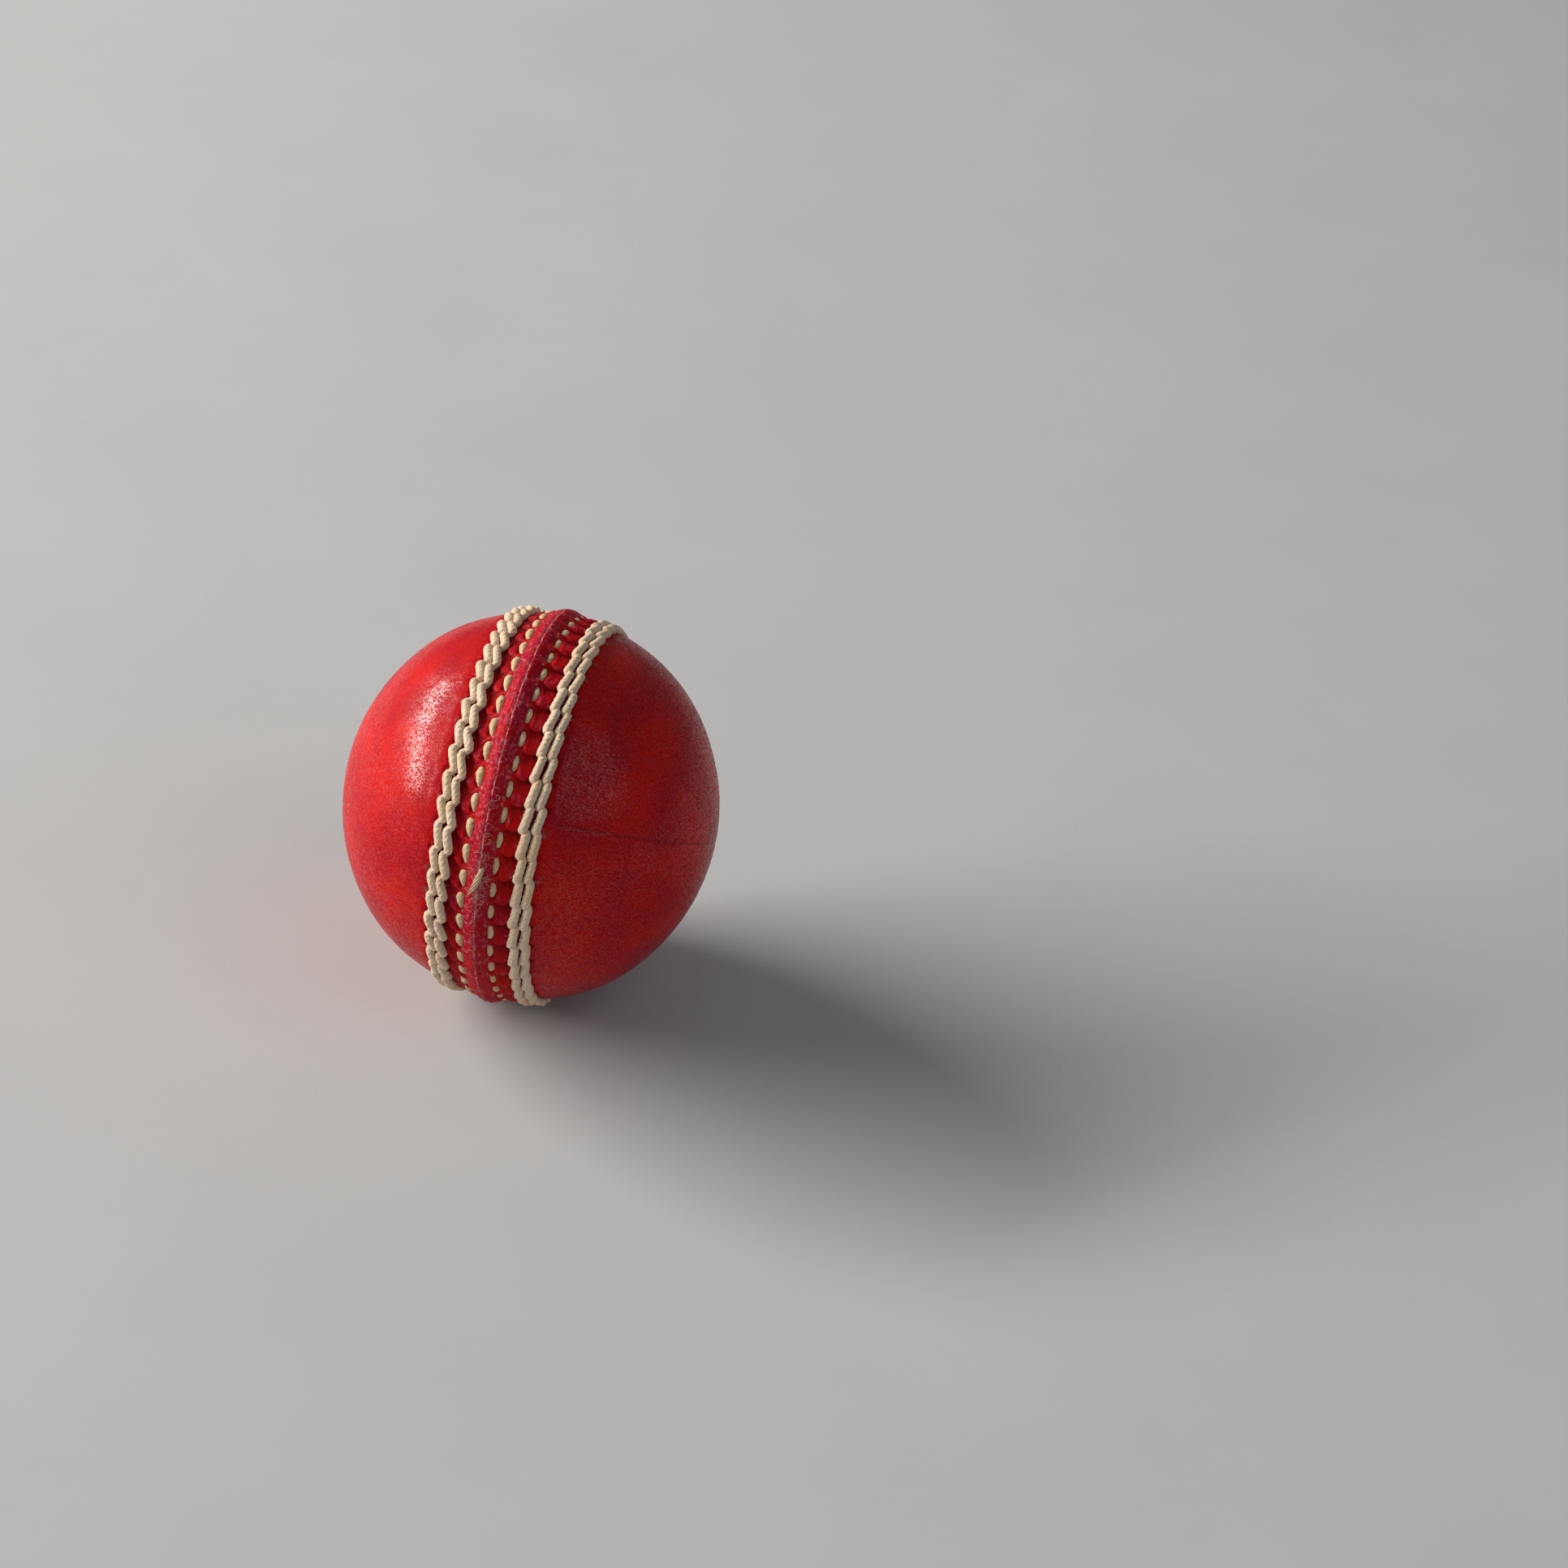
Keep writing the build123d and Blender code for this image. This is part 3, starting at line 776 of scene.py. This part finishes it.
def leather_material():
    """Dyed and polished red leather, rubbed and cut along the join, with shade painted into its creases."""
    s = Shader("red_leather", Coat_Roughness=0.23, Specular_IOR_Level=0.06)
    place_mm = s.place()
    patches = s.noise(place_mm, 0.075, 4)
    streaks = s.noise(s.place((0.3, 1, 1)), 0.45, 5, 0.6)
    cells = s.node("SeparateColor", 0, Color=s.node("TexVoronoi", 1, Vector=place_mm, Scale=4.2))
    color = s.mix(s.band(patches, 0.4, 0.62), (0.4, 0.0015, 0.006, 1), (0.56, 0.005, 0.002, 1))
    color = s.mix(s.band(streaks, 0.5, 0.7, 0, 0.5), color, (0.38, 0.001, 0.022, 1))
    color = s.mix(s.band(cells, 0.75, 1.0, 0, 0.3), color, (0.7, 0.015, 0.02, 1))
    color = s.mix(s.band(cells, 0.0, 0.25, 0.35, 0), color, (0.25, 0.001, 0.003, 1))
    # Painted shade: near-black colour in the leather's creases and hollows, and a dark line along the
    # quarter join
    crease_shade = s.attribute("crease_shade")
    color = s.mix(s.math("MULTIPLY", crease_shade, 0.75), color, (0.06, 0.001, 0.003, 1))
    rubbed = s.attribute("rubbed")
    color = s.mix(s.math("MULTIPLY", rubbed, 0.6), color, (0.36, 0.004, 0.03, 1))
    scratches = s.noise(s.place((1.4, 0.8, 0.8)), 1.3, 8, 0.78)
    flecks = s.math("MULTIPLY", rubbed, s.band(scratches, 0.53, 0.66), True)
    color = s.mix(s.math("MULTIPLY", flecks, 0.6), color, (0.78, 0.42, 0.44, 1))
    cut_noise = s.noise(place_mm, 1.3, 4, 0.7)
    cut = s.math("MULTIPLY", s.attribute("cut"), s.band(cut_noise, 0.38, 0.56), True)
    color = s.mix(s.math("MULTIPLY", cut, 0.75), color, (0.7, 0.42, 0.4, 1))
    sewn = s.attribute("sewn")
    roughness = s.band(s.noise(place_mm, 0.7, 5, 0.6), 0.3, 0.7, 0.4, 0.55)
    roughness = s.math("ADD", roughness, s.math("MULTIPLY", sewn, 0.13), True)
    roughness = s.math("ADD", roughness, s.math("MULTIPLY", flecks, 0.25), True)
    coat = s.math("MULTIPLY", s.band(sewn, 0.0, 1.0, 0.9, 0.06), s.band(cells, 0.35, 1.0, 0.05, 1))
    grain = s.node("TexVoronoi", 0, {"feature": "SMOOTH_F1"}, Vector=place_mm, Scale=4.2, Smoothness=0.4)
    normal = s.bump(s.noise(place_mm, 1.1, 3), 0.04, 0.5)
    normal = s.bump(grain, 0.07, 0.6, normal)
    return s.finish(Base_Color=color, Roughness=roughness, Coat_Weight=coat, Normal=normal)


def thread_material(name, pale, tan, dark):
    """Waxed linen thread: fibres run along the twisted plies, with shade painted into the furrows between
    them.
    """
    s = Shader(name, Roughness=0.7, Sheen_Weight=0.2, Sheen_Roughness=0.5, Specular_IOR_Level=0.3)
    fibre = s.attribute("fibre", 1)
    strands = s.node("Mapping", Vector=fibre, Scale=(1.7, 1.7, 0.4))
    coarse = s.noise(strands, 2.4, 5, 0.7)
    hairs = s.noise(s.node("Mapping", Vector=fibre, Scale=(4.5, 4.5, 0.5)), 2.4, 3, 0.6)
    tone = s.noise(s.place(), 0.16, 4, 0.65)
    color = s.mix(s.band(coarse, 0.36, 0.62), tan, pale)
    color = s.mix(s.band(tone, 0.46, 0.64, 0, 0.6), color, tan)
    color = s.mix(s.band(hairs, 0.3, 0.45, 0.35, 0), color, dark)
    # Painted shade: the colour darkens toward the dark tone in the furrows between the plies
    groove_shade = s.band(s.attribute("ply"), 0.0, 0.4, 1, 0)
    color = s.mix(s.math("MULTIPLY", groove_shade, 0.5), color, dark)
    color = s.mix(s.math("MULTIPLY", s.attribute("fray"), 0.8), color, (0.9, 0.7, 0.6, 1))
    normal = s.bump(s.noise(s.place(), 2.2, 4, 0.65), 0.16, 0.6)
    normal = s.bump(coarse, 0.24, 0.85, normal)
    normal = s.bump(hairs, 0.06, 0.6, normal)
    return s.finish(Base_Color=color, Normal=normal)


def cork_material():
    """Pressed cork: small granules, with shade painted into the thin grooves between them."""
    s = Shader("cork", Roughness=0.85, Specular_IOR_Level=0.25)
    place_mm = s.place()
    granule = s.node("TexVoronoi", 1, Vector=place_mm, Scale=0.55)
    edge = s.node("TexVoronoi", 0, {"feature": "DISTANCE_TO_EDGE"}, Vector=place_mm, Scale=0.55)
    shade = s.node("SeparateColor", 0, Color=granule)
    color = s.mix(shade, (0.42, 0.24, 0.11, 1), (0.6, 0.4, 0.22, 1))
    color = s.mix(s.band(s.noise(place_mm, 2.0, 5), 0.45, 0.7, 0, 0.5), color, (0.22, 0.12, 0.06, 1))
    # Painted shade: near-black brown along the grooves between the granules
    color = s.mix(s.band(edge, 0.0, 0.08, 0.8, 0), color, (0.12, 0.06, 0.03, 1))
    normal = s.bump(s.band(edge, 0, 0.12), 0.2, 0.6)
    return s.finish(Base_Color=color, Normal=normal)


def floor_material():
    s = Shader("pale_floor", Roughness=0.75, Specular_IOR_Level=0.3)
    mottle = s.noise(s.place(), 0.02, 4)
    color = s.mix(mottle, (0.5, 0.51, 0.515, 1), (0.55, 0.56, 0.565, 1))
    return s.finish(Base_Color=color)


# ---------------------------------------------------------------- the ball's pieces

leather = leather_material()
THREAD_COLORS = {  # pale, tan and dark
    "cream_thread": [(0.96, 0.8, 0.66, 1), (0.84, 0.58, 0.32, 1), (0.34, 0.15, 0.07, 1)],
    "tan_thread": [(0.95, 0.74, 0.46, 1), (0.78, 0.5, 0.23, 1), (0.3, 0.12, 0.05, 1)],
    "worsted_yarn": [(0.66, 0.6, 0.48, 1), (0.5, 0.43, 0.32, 1), (0.2, 0.16, 0.1, 1)],
}
threads = [thread_material(name, *colors) for name, colors in THREAD_COLORS.items()]
outer_thread, inner_thread, yarn = threads
cork = cork_material()

for side_name in SIDES:
    for letter, turn in (("a", 0), ("b", 180)):
        node = f"leather_quarter_{side_name}_{letter}"
        points, quads, triangles, masks = leather_quarter(side_name, turn)
        piece = make_mesh(f"{node}_skin", points, quads, triangles, masks)
        piece.data.set_sharp_from_angle(angle=math.radians(75))
        place(piece, node, leather)

for seed, (row, side_name) in enumerate(OUTER_ROWS, start=41):
    node = f"{row}_stitch_row_{side_name}"
    place(make_mesh(f"{node}_thread", *outer_row(row, side_name, seed)), node, outer_thread)

for letter, which in (("a", 1), ("b", -1)):
    node = f"primary_seam_strand_{letter}"
    parts = [primary_strand(which, 51 + which)] + fuzz(RIDGE_FIBRES, 61 + which)
    if which > 0:
        parts += loose_end()
    place(make_mesh(f"{node}_thread", *join(parts)), node, inner_thread)

for layer in range(1, 6):
    node = f"yarn_winding_{layer}"
    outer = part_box(node)[1].x / MM
    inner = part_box(f"cork_wrap_{layer}")[1].z / MM
    turns = round(outer * 4.6)
    place(make_mesh(f"{node}_yarn", *yarn_winding(inner, outer, turns, 70 + layer)), node, yarn)

for side_name in SIDES:
    node = f"quarter_seam_thread_{side_name}"
    place(make_mesh(f"{node}_line", *quarter_thread(side_name)), node, inner_thread)

for node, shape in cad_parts.items():
    if node.startswith("cork"):
        shape.data.materials.clear()
        shape.data.materials.append(cork)

# ---------------------------------------------------------------- floor, camera and light

FLOOR_SIZE = 12.0
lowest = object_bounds()[0].z
corner = FLOOR_SIZE / 2
floor_mesh = bpy.data.meshes.new("floor")
signs = [(-1, -1), (1, -1), (1, 1), (-1, 1)]
floor_corners = [(x * corner, y * corner, lowest) for x, y in signs]
floor_mesh.from_pydata(floor_corners, [], [(0, 1, 2, 3)])
floor = bpy.data.objects.new("floor", floor_mesh)
bpy.context.collection.objects.link(floor)
floor.data.materials.append(floor_material())

# The camera sees the ball left of the middle of the frame, from its front and a little above
CAMERA_RIGHT = Vector((0.9598, 0.2722, 0.0688)).normalized()
NEARLY_UP = Vector((-0.1983, 0.4871, 0.8503))
CAMERA_UP = CAMERA_RIGHT.cross(NEARLY_UP.cross(CAMERA_RIGHT)).normalized()
CAMERA_BACK = CAMERA_RIGHT.cross(CAMERA_UP)
DISTANCE = 0.75  # metres from the ball's centre
BALL_LEFT = 0.0622  # how far the ball's centre is left of and below the middle, over the distance
BALL_BELOW = 0.0054
SENSOR = 36.0
FRAME_WIDTH = 0.3864  # width of the view over the distance

ball_frame = Matrix((CAMERA_RIGHT, CAMERA_UP, CAMERA_BACK)).transposed()
aim = Matrix.Rotation(-math.atan(BALL_LEFT), 3, "Y") @ Matrix.Rotation(math.atan(BALL_BELOW), 3, "X")
camera_data = bpy.data.cameras.new("camera")
camera_data.sensor_width = SENSOR
camera_data.lens = SENSOR / FRAME_WIDTH
camera_data.dof.use_dof = False
camera = bpy.data.objects.new("camera", camera_data)
bpy.context.collection.objects.link(camera)
camera.matrix_world = Matrix.Translation(CAMERA_BACK * DISTANCE) @ (ball_frame @ aim).to_4x4()
bpy.context.scene.camera = camera


def soft_light(name, direction, roll, distance, width, height, power, color):
    """A rectangular area light that faces the ball, rolled about the line to it."""
    data = bpy.data.lights.new(name, "AREA")
    data.shape = "RECTANGLE"
    data.size = width
    data.size_y = height
    data.energy = power
    data.color = color
    lamp = bpy.data.objects.new(name, data)
    bpy.context.collection.objects.link(lamp)
    away = Vector(direction).normalized()
    turn = away.to_track_quat("Z", "Y").to_matrix() @ Matrix.Rotation(math.radians(roll), 3, "Z")
    lamp.matrix_world = Matrix.Translation(away * distance) @ turn.to_4x4()


LAMP_DISTANCE = 2.2
WORLD_STRENGTH = 0.16
soft_light("key", (-0.92, -0.03, 0.44), 67, LAMP_DISTANCE, 0.36, 2.2, power=88, color=(1, 0.95, 0.9))
soft_light("fill", (0.8, -0.45, 0.8), 0, LAMP_DISTANCE, 1.8, 1.8, power=7, color=(0.93, 0.96, 1))
world = bpy.data.worlds.new("studio")
world.use_nodes = True
world.node_tree.nodes["Background"].inputs[0].default_value = (0.8, 0.86, 0.9, 1)
world.node_tree.nodes["Background"].inputs[1].default_value = WORLD_STRENGTH
bpy.context.scene.world = world
bpy.context.scene.view_settings.view_transform = "Standard"
